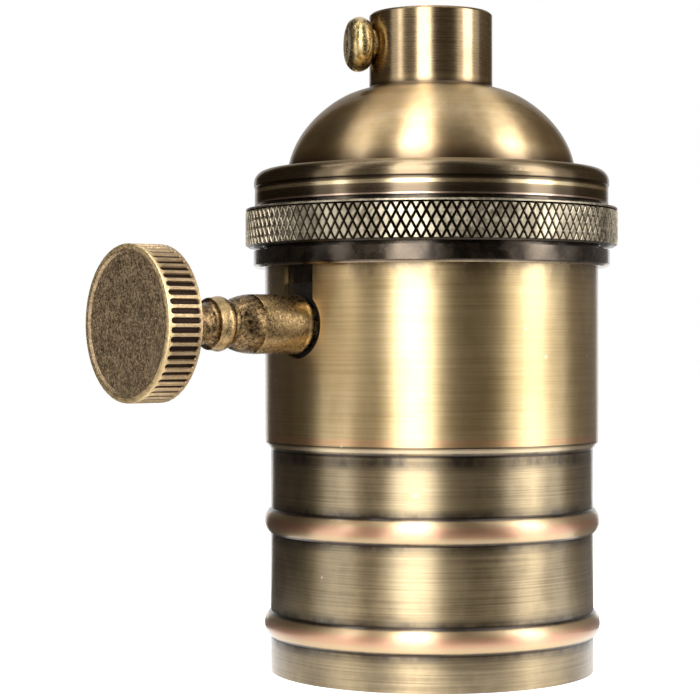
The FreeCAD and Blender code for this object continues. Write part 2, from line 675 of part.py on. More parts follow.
def centre_rivet():
    """Brass rivet that joins the tongue to the lamp-side contact through the floor."""
    low = BODY_FLOOR - SEAT_GAP - TONGUE_SHEET - SEAT_GAP
    high = CHAMBER_FLOOR + SEAT_GAP + BLADE_SHEET + SEAT_GAP
    crown = RIVET_HEAD_R * RIVET_CROWN
    rivet = turned(
        (0, low - RIVET_HEAD),
        (crown, low - RIVET_HEAD),
        ((RIVET_HEAD_R * 0.87, low - RIVET_HEAD * 0.62), (RIVET_HEAD_R, low)),
        (RIVET_R, low),
        (RIVET_R, high),
        (RIVET_HEAD_R, high),
        ((RIVET_HEAD_R * 0.87, high + RIVET_HEAD * 0.62), (crown, high + RIVET_HEAD)),
        (0, high + RIVET_HEAD),
    )
    rivet.translate(Vector(-STRAP_MID, RIVET_Y, 0))
    return rivet


def screw_shell():
    """Pressed cup that takes the lamp's thread, coned in to a flat base."""
    sheet = SCREW_SHELL_SHEET
    outer_r = SCREW_SHELL_R + sheet
    inner_base = SHELL_BASE_Z - sheet
    cup = turned(
        (SCREW_SHELL_R, SCREW_SHELL_MOUTH),
        (outer_r, SCREW_SHELL_MOUTH),
        (outer_r, SCREW_SHELL_BEND),
        (CONE_R + sheet, SHELL_BASE_Z),
        (CONTACT_HOLE_R, SHELL_BASE_Z),
        (CONTACT_HOLE_R, inner_base),
        (CONE_R, inner_base),
        (SCREW_SHELL_R, SCREW_SHELL_BEND),
    )
    hole_r = SHELL_SCREW_R + SEAT_GAP
    holes = [rod(hole_r, inner_base, SHELL_BASE_Z, x) for x in (SHELL_SCREW_X, -SHELL_SCREW_X)]
    return cup.cut(holes)


def shell_screws():
    """Two screws that hold the screw shell to the body, one through the neutral strip."""
    seat = SHELL_BASE_Z - SCREW_SHELL_SHEET - SEAT_GAP
    screws = []
    for x in (SHELL_SCREW_X, -SHELL_SCREW_X):
        screw = pan_screw(SHELL_SCREW_R, SHELL_SCREW_LENGTH, SHELL_SCREW_HEAD_R, SHELL_SCREW_HEAD)
        screw.rotate(Vector(), Vector(1, 0, 0), 180)
        screw.translate(Vector(x, 0, seat))
        screws.append(screw)
    return Part.makeCompound(screws)


def body_screw_places():
    """The two body screws stand opposite each other about the axis."""
    angle = math.radians(BODY_SCREW_ANGLE)
    x, y = BODY_SCREW_R * math.cos(angle), BODY_SCREW_R * math.sin(angle)
    return ((x, y), (-x, -y))


def chamber(low, high):
    """Hollow for the rotor and its contacts, between two heights."""
    return block((-CHAMBER_OUT, -CHAMBER_IN), (-CHAMBER_HALF, CHAMBER_HALF), (low, high))


def switch_cuts():
    """Bearings, strip channels and screw holes shared by the body and its cover."""
    room = SLIP_GAP
    half = STRIP_WIDTH / 2 + room
    back = NEUTRAL_X - TERMINAL_SHEET
    cuts = [
        stem_rod(BUSH_R + SEAT_GAP, CHAMBER_OUT, COVER_R + COVER_EDGE),
        stem_rod(JOURNAL_R + RUNNING_GAP, CHAMBER_IN - JOURNAL_LENGTH, CHAMBER_IN),
        block((back - room, NEUTRAL_X + room), (-half, half), (BODY_FLOOR, BOSS_TOP)),
    ]
    for x, y in body_screw_places():
        cuts.append(rod(CLAMP_SCREW_R + SEAT_GAP, STEM_Z - BODY_SCREW_DEPTH - SEAT_GAP, BOSS_TOP, x, y))
    return cuts


def lamp_body():
    """Moulded body: skirt round the screw shell, floor, and the switch's lower half."""
    ledge = STEP_Z + SEAT_GAP
    slope = STEP_RISE / STEP_OUT
    body = turned(
        (0, BODY_FLOOR),
        (POCKET_R, BODY_FLOOR),
        (POCKET_R, BODY_MOUTH + MOUTH_RISE),
        (MOUTH_R, BODY_MOUTH),
        (SKIRT_R, BODY_MOUTH),
        (SKIRT_R, ledge),
        (SHELL_BORE_R, ledge),
        (COVER_R, ledge + (COVER_R - SHELL_BORE_R) * slope),
        (COVER_R, STEM_Z),
        (0, STEM_Z),
    )
    half = STRIP_WIDTH / 2 + SLIP_GAP
    foot_end = SHELL_SCREW_X - SHELL_SCREW_HEAD_R - SLIP_GAP
    foot = block((foot_end, NEUTRAL_X + SLIP_GAP), (-half, half), (BODY_FLOOR, FOOT_Z + SEAT_GAP))
    holes = [rod(SHELL_SCREW_R + SEAT_GAP, BODY_FLOOR, BODY_FLOOR + SHELL_SCREW_LENGTH, x)
             for x in (SHELL_SCREW_X, -SHELL_SCREW_X)]
    rivet = rod(RIVET_R + SEAT_GAP, BODY_FLOOR, CHAMBER_FLOOR, -STRAP_MID, RIVET_Y)
    return body.cut([chamber(CHAMBER_FLOOR, STEM_Z), foot, rivet] + holes + switch_cuts())


def switch_cover():
    """Upper half of the switch housing, clamped by the collar; carries the terminals."""
    base = STEM_Z + SEAT_GAP
    cover = turned((0, base), (COVER_R, base), (COVER_R, COVER_TOP),
                   (BOSS_R, COVER_TOP), (BOSS_R, BOSS_TOP), (0, BOSS_TOP))
    room = SLIP_GAP
    half = STRIP_WIDTH / 2 + room
    blade = block((-STRAP_MID - half, -STRAP_MID + half), (BLADE_Y - room, BLADE_Y + BLADE_SHEET + room),
                  (base, BOSS_TOP))
    deep = BOSS_TOP - TERMINAL_SCREW_LENGTH
    line_hole = rod(CLAMP_SCREW_R + SEAT_GAP, deep, BOSS_TOP, -STRAP_MID, LINE_SCREW_Y)
    neutral_hole = rod(CLAMP_SCREW_R + SEAT_GAP, deep, BOSS_TOP, NEUTRAL_SCREW_X)
    return cover.cut([chamber(base, CHAMBER_ROOF), blade, line_hole, neutral_hole] + switch_cuts())


def terminal_screws():
    """Slotted brass screws that clamp the two supply wires."""
    places = ((-STRAP_MID, LINE_SCREW_Y, BLADE_SHEET), (NEUTRAL_SCREW_X, 0, TERMINAL_SHEET))
    screws = []
    for x, y, sheet in places:
        screw = pan_screw(CLAMP_SCREW_R, TERMINAL_SCREW_LENGTH, CLAMP_SCREW_HEAD_R, CLAMP_SCREW_HEAD)
        screw.translate(Vector(x, y, BOSS_TOP + sheet + 2 * SEAT_GAP))
        screws.append(screw)
    return Part.makeCompound(screws)


def body_screws():
    """Two screws that pull the cover down on the body."""
    length = BOSS_TOP - STEM_Z + BODY_SCREW_DEPTH
    screws = []
    for x, y in body_screw_places():
        screw = pan_screw(CLAMP_SCREW_R, length, BODY_SCREW_HEAD_R, CLAMP_SCREW_HEAD)
        screw.translate(Vector(x, y, BOSS_TOP + SEAT_GAP))
        screws.append(screw)
    return Part.makeCompound(screws)


def cap_insulator():
    """Fibre disc between the wiring and the cap, clamped on the collar's edge."""
    return tube(THREAD_R - THREAD_CHAMFER, DISC_HOLE_R, THREAD_TOP + SEAT_GAP, CAP_SEAT)


NODES = (
    shell, collar, knurled_ring, dome_cap, set_screw, knob,
    switch_shaft, shaft_clip, rotor, rotor_strap, shaft_bush, index_spring,
    lamp_blade, line_terminal, neutral_terminal, centre_contact, centre_rivet,
    screw_shell, shell_screws, lamp_body, switch_cover, body_screws, terminal_screws,
    cap_insulator,
)

os.makedirs("parts", exist_ok=True)
for make in NODES:
    make().exportStep("parts/" + make.__name__ + ".step")
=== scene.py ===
import bmesh
import bpy
import math
from mathutils import Matrix, Quaternion, Vector


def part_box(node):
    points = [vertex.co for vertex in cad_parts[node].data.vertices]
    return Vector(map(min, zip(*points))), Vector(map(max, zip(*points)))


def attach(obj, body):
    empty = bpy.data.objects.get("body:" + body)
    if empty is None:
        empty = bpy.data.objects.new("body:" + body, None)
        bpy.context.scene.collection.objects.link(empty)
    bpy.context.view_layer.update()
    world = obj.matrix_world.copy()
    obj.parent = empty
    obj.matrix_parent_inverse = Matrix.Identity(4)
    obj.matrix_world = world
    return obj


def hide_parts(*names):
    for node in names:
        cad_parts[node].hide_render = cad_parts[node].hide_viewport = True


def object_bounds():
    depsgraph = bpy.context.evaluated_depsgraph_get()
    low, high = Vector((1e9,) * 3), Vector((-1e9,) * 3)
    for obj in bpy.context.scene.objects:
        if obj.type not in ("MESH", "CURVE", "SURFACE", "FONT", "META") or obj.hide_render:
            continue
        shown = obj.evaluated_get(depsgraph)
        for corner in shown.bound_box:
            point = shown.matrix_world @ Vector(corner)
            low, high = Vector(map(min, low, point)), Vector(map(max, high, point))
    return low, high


MM = 0.001
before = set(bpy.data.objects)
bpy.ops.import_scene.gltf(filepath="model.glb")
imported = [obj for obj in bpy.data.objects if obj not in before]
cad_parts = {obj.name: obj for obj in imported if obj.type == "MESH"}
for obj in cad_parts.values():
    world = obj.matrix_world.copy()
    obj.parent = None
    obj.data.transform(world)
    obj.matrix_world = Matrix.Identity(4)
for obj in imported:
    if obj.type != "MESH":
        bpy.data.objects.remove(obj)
cad_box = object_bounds()

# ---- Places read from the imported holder, in millimetres apart from STEM_Z ----
shell_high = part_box("shell")[1]
collar_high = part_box("collar")[1]
ring_low, ring_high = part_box("knurled_ring")
cap_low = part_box("dome_cap")[0]
knob_low, knob_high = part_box("knob")
STEM_Z = (knob_high.z + knob_low.z) / 2         # metres
BEAD_CREST = shell_high.y / MM
BAND_R = collar_high.y / MM
RING_R = ring_high.y / MM
RING_FOOT, RING_TOP = ring_low.z / MM, ring_high.z / MM
KNOB_R = (knob_high.z - knob_low.z) / 2 / MM
KNOB_FACE = -knob_low.x / MM
STEM_END = -knob_high.x / MM
SHELL_TOP = shell_high.z / MM

# ---- Features that the boxes don't give, in millimetres ----
BEADS = (5.40, 16.95)                           # heights of the shell's two rolled beads
BEAD_HALF = 1.45
STEP_Z = 25.0                                   # the shell widens above this
CAP_FLANGE_TOP = cap_low.z / MM + 3.85
CAP_LINE_Z = cap_low.z / MM + 1.90              # turned line round the flange
DOME_FOOT_R = 16.40
NECK_FOOT_Z = 65.85
COLUMNS = 125                                   # knurled diamonds round the ring
KNURL_DEEP = 0.28
KNURL_STEPS = ((0.115, 0.20), (0.045, KNURL_DEEP - 0.20))
RING_WALL = 1.70
KNOB_BACK = 36.40                               # places along the stem are counted from the holder's axis
SLEEVE_END = 25.0
STEM_BEAD = 29.65
SHAFT_HOLE_R = 1.77
SHAFT_HOLE_DEEP = 8.0
SLEEVE_R = 3.2
WAIST_R = 2.42
NECKING_R = 2.15
FACE_SINK = 0.22
TEETH = 53                                      # grooves round the knob's rim
RIM_MARGIN = 0.14                               # plain edge before and behind the grooves
GROOVE_INSET = 0.17
GROOVE_ROUND = 0.30
GROOVE_STEPS = ((0.05, -0.14), (0.09, -0.11))

# ---- Camera ----
VIEW_FROM = math.radians(230.3)                 # direction from the holder's axis to the camera
VIEW_DISTANCE = 240 * MM
EYE_HEIGHT = 37 * MM
AIM_LEFT = math.radians(2.21)                   # the holder stands right of the middle
TILT = math.radians(0.10)
LENS = 108.3
SHIFT_UP = -0.0105

# ---- Studio, in metres ----
TENT_R = 0.50
TENT_H = 0.62
TABLE_R = 3.0
TABLE_GAP = 0.05 * MM                           # the holder stands clear of the table by a hair
TABLE_GLOW = 0.62
CARD_FOOT_R = 0.034
CARD_LIFT = 0.4 * MM
CARD_TOP_R = 0.10
CARD_TOP_RISE = 0.14
LOW_STRIP = {"height": 0.42, "rise": 22}        # rise in degrees above the table
TOP_STRIP = {"height": 0.36, "rise": 66}
TOP_NARROWED = 0.6
ROOM_GLOW = 0.45
WHITE = (1, 1, 1, 1)


# ---- Node trees ----
class Sheet:
    """A node tree with short ways to add and wire its nodes."""

    def __init__(self, tree, start=None, end=None):
        self.tree = tree
        self.start = start
        self.end = end

    def take(self, label):
        return self.start.outputs[label]

    def give(self, label, socket):
        self.tree.links.new(socket, self.end.inputs[label])

    def put(self, node, inputs):
        for key, value in inputs.items():
            socket = node.inputs[key]
            if isinstance(value, bpy.types.NodeSocket):
                self.tree.links.new(value, socket)
            else:
                socket.default_value = value
        return node

    def add(self, kind, inputs=None, **settings):
        node = self.tree.nodes.new("ShaderNode" + kind)
        for key, value in settings.items():
            setattr(node, key, value)
        return self.put(node, inputs or {})

    def math(self, how, a, b=0.0, clamp=False):
        return self.add("Math", {0: a, 1: b}, operation=how, use_clamp=clamp).outputs[0]

    def times(self, a, b):
        return self.math("MULTIPLY", a, b)

    def plus(self, a, b):
        return self.math("ADD", a, b)

    def minus(self, a, b):
        return self.math("SUBTRACT", a, b)

    def away(self, value, middle):
        """Distance of a value from its middle."""
        return self.math("ABSOLUTE", self.minus(value, middle))

    def ramp(self, value, low, high, to_low=0.0, to_high=1.0):
        """Soft step from one value to another between two limits."""
        ends = {"Value": value, "From Min": low, "From Max": high, "To Min": to_low, "To Max": to_high}
        return self.add("MapRange", ends, interpolation_type="SMOOTHSTEP").outputs["Result"]

    def noise(self, vector, scale, detail, rough):
        inputs = {"Vector": vector, "Scale": scale, "Detail": detail, "Roughness": rough}
        return self.add("TexNoise", inputs).outputs["Fac"]

    def blend(self, share, a, b):
        node = self.add("Mix", {}, data_type="RGBA")
        self.put(node, {0: share, 6: a, 7: b})
        return node.outputs[2]

    def tint(self, share, strength, colour, paint):
        """Lay a paint over a colour, at most at the given strength."""
        return self.blend(self.times(share, strength), colour, paint)

    def use(self, group, inputs):
        node = self.tree.nodes.new("ShaderNodeGroup")
        node.node_tree = group.tree
        return self.put(node, inputs).outputs


def rgb(r, g, b):
    return (r, g, b, 1.0)


# ---- Camera and studio ----
def set_camera():
    """Level view from the knob's side, a hand's length away."""
    eye = bpy.data.cameras.new("eye")
    eye.lens = LENS
    eye.shift_y = SHIFT_UP
    eye.sensor_width = 36
    eye.clip_start = 0.01
    camera = bpy.data.objects.new("eye", eye)
    bpy.context.scene.collection.objects.link(camera)
    stand = Vector((math.cos(VIEW_FROM), math.sin(VIEW_FROM), 0)) * VIEW_DISTANCE
    camera.location = stand + Vector((0, 0, EYE_HEIGHT))
    look = Quaternion((0, 0, 1), AIM_LEFT) @ -stand
    turn = look.to_track_quat("-Z", "Y") @ Quaternion((0, 0, 1), -TILT)
    camera.rotation_euler = turn.to_euler()
    bpy.context.scene.camera = camera


def looked_at(sheet):
    """One for rays that look at a thing: from the camera, off gloss or through glass."""
    path = sheet.add("LightPath").outputs
    seen = sheet.math("ADD", path["Is Camera Ray"], path["Is Glossy Ray"], clamp=True)
    return sheet.math("ADD", seen, path["Is Transmission Ray"], clamp=True)


def plain(name, colour, glow=None):
    """Matte studio material; a glow shows only to rays that look at it."""
    material = bpy.data.materials.new(name)
    material.use_nodes = True
    sheet = Sheet(material.node_tree)
    sheet.tree.nodes.clear()
    matte = sheet.add("BsdfDiffuse", {"Color": rgb(*colour)})
    surface = matte.outputs[0]
    if glow is not None:
        shine = sheet.add("Emission", {"Color": WHITE, "Strength": glow})
        both = sheet.add("AddShader", {0: matte.outputs[0], 1: shine.outputs[0]})
        pick = sheet.add("MixShader", {0: looked_at(sheet), 1: surface, 2: both.outputs[0]})
        surface = pick.outputs[0]
    sheet.add("OutputMaterial", {"Surface": surface})
    return material


def staged(name, shape, material):
    """Put a bmesh on the stage: it isn't part of the holder."""
    mesh = bpy.data.meshes.new(name)
    shape.to_mesh(mesh)
    shape.free()
    mesh.materials.append(material)
    thing = bpy.data.objects.new(name, mesh)
    bpy.context.scene.collection.objects.link(thing)
    return thing


def set_floor():
    """Pale round table top."""
    disc = bmesh.new()
    bmesh.ops.create_circle(disc, cap_ends=True, segments=96, radius=TABLE_R)
    bmesh.ops.translate(disc, verts=disc.verts, vec=(0, 0, cad_box[0][2] - TABLE_GAP))
    staged("table", disc, plain("table_paint", (0.85, 0.85, 0.84), TABLE_GLOW))


def around(view_angle):
    """Direction on the plan, from an angle counted to the right of the camera."""
    return VIEW_FROM + math.radians(view_angle)


def card(name, left, right, material):
    """Bent card that runs out over the table, up and over; only gloss sees it."""
    sheet = bmesh.new()
    path = [(CARD_FOOT_R, CARD_LIFT), (TENT_R, CARD_LIFT), (TENT_R, TENT_H),
            (CARD_TOP_R, TENT_H + CARD_TOP_RISE)]
    points = [sheet.verts.new((r, 0, z)) for r, z in path]
    edges = [sheet.edges.new(pair) for pair in zip(points, points[1:])]
    bmesh.ops.rotate(sheet, verts=points, cent=(0, 0, 0), matrix=Matrix.Rotation(around(left), 3, "Z"))
    bmesh.ops.spin(sheet, geom=points + edges, cent=(0, 0, 0), axis=(0, 0, 1),
                   angle=math.radians(right - left), steps=12)
    thing = staged(name, sheet, material)
    thing.visible_camera = False
    thing.visible_diffuse = False
    thing.visible_shadow = False
    thing.visible_transmission = False


def softbox(name, middle, width, brightness, height, rise):
    """Soft light that faces the holder; its angles are in degrees, its height in metres."""
    lamp = bpy.data.lights.new(name, "AREA")
    lamp.shape = "RECTANGLE"
    lamp.size = 2 * TENT_R * math.tan(math.radians(width / 2))
    lamp.size_y = height
    lamp.energy = brightness * math.pi * lamp.size * lamp.size_y
    light = bpy.data.objects.new(name, lamp)
    bpy.context.scene.collection.objects.link(light)
    side, rise = around(middle), math.radians(rise)
    away = Vector((math.cos(side) * math.cos(rise), math.sin(side) * math.cos(rise), math.sin(rise)))
    light.location = away * TENT_R + Vector((0, 0, EYE_HEIGHT))
    light.rotation_euler = away.to_track_quat("Z", "Y").to_euler()
    light.visible_camera = False


def strip_light(name, middle, width, brightness, turn, above):
    """Tall soft strip and a second one higher up, turned a little and with its own brightness."""
    softbox(name, middle, width, brightness, **LOW_STRIP)
    softbox(name + "_top", middle + turn, width * TOP_NARROWED, above, **TOP_STRIP)


def set_room():
    """Pale surroundings, and a white backdrop for rays that look at it."""
    world = bpy.data.worlds.new("room")
    bpy.context.scene.world = world
    world.use_nodes = True
    sheet = Sheet(world.node_tree)
    sheet.tree.nodes.clear()
    room = sheet.add("Background", {"Color": WHITE, "Strength": ROOM_GLOW})
    backdrop = sheet.add("Background", {"Color": WHITE, "Strength": 1.0})
    pick = sheet.add("MixShader", {0: looked_at(sheet), 1: room.outputs[0], 2: backdrop.outputs[0]})
    sheet.add("OutputWorld", {"Surface": pick.outputs[0]})


def set_studio():
    """Three soft lights, and dark cards between them that give brass its depth."""
    set_room()
    black = plain("card_black", (0.07, 0.06, 0.05))
    grey = plain("card_grey", (0.20, 0.18, 0.16))
    card("card_left_rear", -154, -78, black)
    card("card_left_grey", -52, -28, grey)
    card("card_right", 4, 50, black)
    card("card_right_rear", 101, 156, grey)
    strip_light("key_light", -12.5, 23, 7.5, turn=-6, above=6.5)
    strip_light("side_light", 73, 19, 6.0, turn=29, above=1.9)
    strip_light("fill_light", -59, 8, 3.1, turn=-34, above=9.0)


# ---- Node groups shared by the finishes ----
def new_group(name, takes, gives):
    """Empty shader group with named sockets: (name, type, default) and (name, type)."""
    tree = bpy.data.node_groups.new(name, "ShaderNodeTree")
    for label, kind, value in takes:
        socket = tree.interface.new_socket(label, in_out="INPUT", socket_type="NodeSocket" + kind)
        if value is not None:
            socket.default_value = value
    for label, kind in gives:
        tree.interface.new_socket(label, in_out="OUTPUT", socket_type="NodeSocket" + kind)
    return Sheet(tree, tree.nodes.new("NodeGroupInput"), tree.nodes.new("NodeGroupOutput"))


def make_axis_group():
    """Radius and height about Z, in millimetres, from a point on the object."""
    g = new_group("round_about_axis", [("Point", "Vector", None)],
                  [("Radius", "Float"), ("Height", "Float")])
    split = g.add("SeparateXYZ", {0: g.take("Point")})
    flat = g.add("CombineXYZ", {0: split.outputs[0], 1: split.outputs[1]})
    radius = g.add("VectorMath", {0: flat.outputs[0]}, operation="LENGTH").outputs["Value"]
    g.give("Radius", g.times(radius, 1000.0))
    g.give("Height", g.times(split.outputs[2], 1000.0))
    return g


def make_brushing_group(axis):
    """Fine turned or brushed lines that run round the axis."""
    takes = [("Point", "Vector", None), ("Fineness", "Float", 9.0), ("Length", "Float", 60.0)]
    g = new_group("brushing", takes, [("Lines", "Float")])
    place = g.use(axis, {"Point": g.take("Point")})
    split = g.add("SeparateXYZ", {0: g.take("Point")})
    along = g.minus(place["Height"], place["Radius"])
    lifted = g.times(along, g.take("Fineness"))
    x = g.times(split.outputs[0], g.take("Length"))
    y = g.times(split.outputs[1], g.take("Length"))
    where = g.add("CombineXYZ", {0: x, 1: y, 2: lifted}).outputs[0]
    g.give("Lines", g.noise(where, 1.0, 4.0, 0.65))
    return g


def make_cloud_group():
    """Soft uneven clouds of old lacquer and tarnish."""
    takes = [("Point", "Vector", None), ("Size", "Float", 5.0), ("Stretch", "Float", 1.0)]
    g = new_group("clouds", takes, [("Clouds", "Float"), ("Mottle", "Float")])
    scale = g.math("DIVIDE", 1000.0, g.take("Size"))
    split = g.add("SeparateXYZ", {0: g.take("Point")})
    tall = g.times(split.outputs[2], g.take("Stretch"))
    where = g.add("CombineXYZ", {0: split.outputs[0], 1: split.outputs[1], 2: tall}).outputs[0]
    broad = g.noise(where, scale, 2.0, 0.5)
    close = g.noise(where, g.times(scale, 3.7), 3.0, 0.6)
    both = g.plus(g.times(broad, 0.65), g.times(close, 0.35))
    g.give("Clouds", g.ramp(both, 0.36, 0.64))
    g.give("Mottle", g.ramp(close, 0.35, 0.65))
    return g


def make_pit_group():
    """Sparse small pits and specks."""
    takes = [("Point", "Vector", None), ("Spacing", "Float", 3.0), ("Share", "Float", 0.25)]
    g = new_group("pits", takes, [("Pits", "Float")])
    scale = g.math("DIVIDE", 1000.0, g.take("Spacing"))
    cells = g.add("TexVoronoi", {"Vector": g.take("Point"), "Scale": scale})
    pick = g.add("SeparateColor", {0: cells.outputs["Color"]}).outputs[0]
    chosen = g.math("LESS_THAN", pick, g.take("Share"))
    spot = g.ramp(cells.outputs["Distance"], 0.10, 0.04)
    g.give("Pits", g.times(chosen, spot))
    return g


axis_group = make_axis_group()
brushing = make_brushing_group(axis_group)
clouds = make_cloud_group()
pits = make_pit_group()


# ---- Finishes ----
def start_finish(name):
    """New material sheet with its shader; the point is the object's own."""
    material = bpy.data.materials.new(name)
    material.use_nodes = True
    sheet = Sheet(material.node_tree)
    sheet.tree.nodes.clear()
    sheet.material = material
    sheet.shader = sheet.add("BsdfPrincipled")
    sheet.add("OutputMaterial", {"Surface": sheet.shader.outputs[0]})
    sheet.point = sheet.add("TexCoord").outputs["Object"]
    return sheet


def dress(sheet, colour, rough, height, bump, depth=0.05, metal=1.0):
    """Wire the pattern to the shader: colour, roughness and bump (depth in millimetres)."""
    lift = sheet.add("Bump", {"Strength": bump, "Distance": depth * MM, "Height": height})
    sheet.put(sheet.shader, {"Base Color": colour, "Roughness": rough, "Metallic": metal,
                             "Normal": lift.outputs[0]})


def brush(sheet, amount):
    """Spread the gloss across the brushed lines, which run round the axis."""
    run = sheet.add("Tangent", direction_type="RADIAL", axis="Z")
    sheet.put(sheet.shader, {"Anisotropic": amount, "Anisotropic Rotation": 0.25,
                             "Tangent": run.outputs[0]})


def lacquer(sheet, weight, rough):
    """Thin clear coat over the metal."""
    sheet.put(sheet.shader, {"Coat Weight": weight, "Coat Roughness": rough, "Coat IOR": 1.45})


def thin_line(s, height, middle, half, colour, paint, share):
    """Soft-edged ring of another colour round the part."""
    return s.tint(s.ramp(s.away(height, middle), half, half * 0.45), share, colour, paint)


def aged_shell():
    """Brushed antique brass with rubbed beads, tarnish beside them, and a painted highlight line along
    the step.
    """
    s = start_finish("aged_shell_brass")
    place = s.use(axis_group, {"Point": s.point})
    radius, height = place["Radius"], place["Height"]
    lines = s.use(brushing, {"Point": s.point, "Fineness": 5.0, "Length": 60.0})["Lines"]
    mist = s.use(clouds, {"Point": s.point, "Size": 9.0, "Stretch": 0.6})
    streaks = s.ramp(lines, 0.30, 0.70)
    tone = s.plus(s.times(mist["Clouds"], 0.5), s.times(streaks, 0.5))
    upper = s.blend(tone, rgb(0.42, 0.295, 0.13), rgb(0.66, 0.505, 0.275))
    smoked = s.blend(tone, rgb(0.17, 0.125, 0.07), rgb(0.44, 0.345, 0.20))
    colour = s.blend(s.ramp(height, STEP_Z + 0.4, STEP_Z - 0.6), upper, smoked)

    bead_foot = rgb(0.04, 0.026, 0.018)
    tarnish = s.ramp(s.away(height, STEP_Z - 0.4), 1.6, 0.4)
    for z in BEADS:
        tarnish = s.math("MAXIMUM", tarnish, s.ramp(s.away(height, z), 2.9, 1.5))
    below_step = s.math("LESS_THAN", height, STEP_Z)
    crest = s.times(s.ramp(radius, BEAD_CREST - 0.50, BEAD_CREST - 0.30), below_step)
    tarnish = s.times(tarnish, s.minus(1.0, crest))
    tarnish = s.times(tarnish, s.plus(0.50, s.times(mist["Mottle"], 0.45)))
    colour = s.blend(tarnish, colour, rgb(0.055, 0.042, 0.030))
    colour = s.tint(crest, 0.85, colour, rgb(0.66, 0.47, 0.27))
    copper = s.times(s.ramp(radius, BEAD_CREST - 0.14, BEAD_CREST - 0.02), below_step)
    colour = s.tint(copper, 0.8, colour, rgb(0.66, 0.36, 0.23))

    for z in BEADS:
        for side in (-1, 1):
            colour = thin_line(s, height, z + side * BEAD_HALF, 0.20, colour, bead_foot, 0.85)
    # Lines round the step, as (rise above the step, half width, paint, share): an orange rubbed band, a
    # thin dark line, a painted highlight along the step's slope, and a dark line at the crease.
    step_lines_with_painted_highlight = ((1.35, 0.50, (0.70, 0.38, 0.20), 0.55), (0.84, 0.14, (0.06, 0.04, 0.025), 0.8),
                  (0.45, 0.22, (0.75, 0.62, 0.42), 0.8), (-0.05, 0.22, (0.03, 0.02, 0.014), 0.9))
    for rise, half, paint, share in step_lines_with_painted_highlight:
        colour = thin_line(s, height, STEP_Z + rise, half, colour, rgb(*paint), share)
    under_band = s.times(s.ramp(height, SHELL_TOP - 3.5, SHELL_TOP), mist["Mottle"])
    colour = s.tint(under_band, 0.6, colour, rgb(0.11, 0.075, 0.04))
    specks = s.use(pits, {"Point": s.point, "Spacing": 2.6, "Share": 0.14})["Pits"]
    colour = s.tint(specks, 0.6, colour, rgb(0.85, 0.72, 0.5))
    dress(s, colour, s.ramp(lines, 0.2, 0.8, 0.38, 0.46), lines, bump=0.22, depth=0.02)
    brush(s, 0.9)
    lacquer(s, 0.7, 0.18)
    return s.material


def dark_band_painted_shade():
    """Near-black collar, partly its own dark tone and partly painted shade from the ring's overhang, with
    rubbed lower edge.
    """
    s = start_finish("dark_collar_brass_painted_shade")
    radius = s.use(axis_group, {"Point": s.point})["Radius"]
    lines = s.use(brushing, {"Point": s.point, "Fineness": 8.0, "Length": 60.0})["Lines"]
    mist = s.use(clouds, {"Point": s.point, "Size": 6.0, "Stretch": 1.0})
    # Near-black base: the collar's own dark tone, deepened as painted shade under the knurled ring's
    # overhang.
    colour = s.blend(mist["Clouds"], rgb(0.022, 0.017, 0.013), rgb(0.100, 0.076, 0.054))
    rub = s.ramp(radius, BAND_R - 0.06, BAND_R - 0.30)
    rub = s.times(rub, s.math("GREATER_THAN", radius, BAND_R - 0.5))
    colour = s.tint(rub, 0.6, colour, rgb(0.50, 0.38, 0.24))
    dress(s, colour, s.ramp(mist["Mottle"], 0.0, 1.0, 0.20, 0.32), lines, bump=0.1, depth=0.02)
    brush(s, 0.8)
    lacquer(s, 0.3, 0.2)
    return s.material


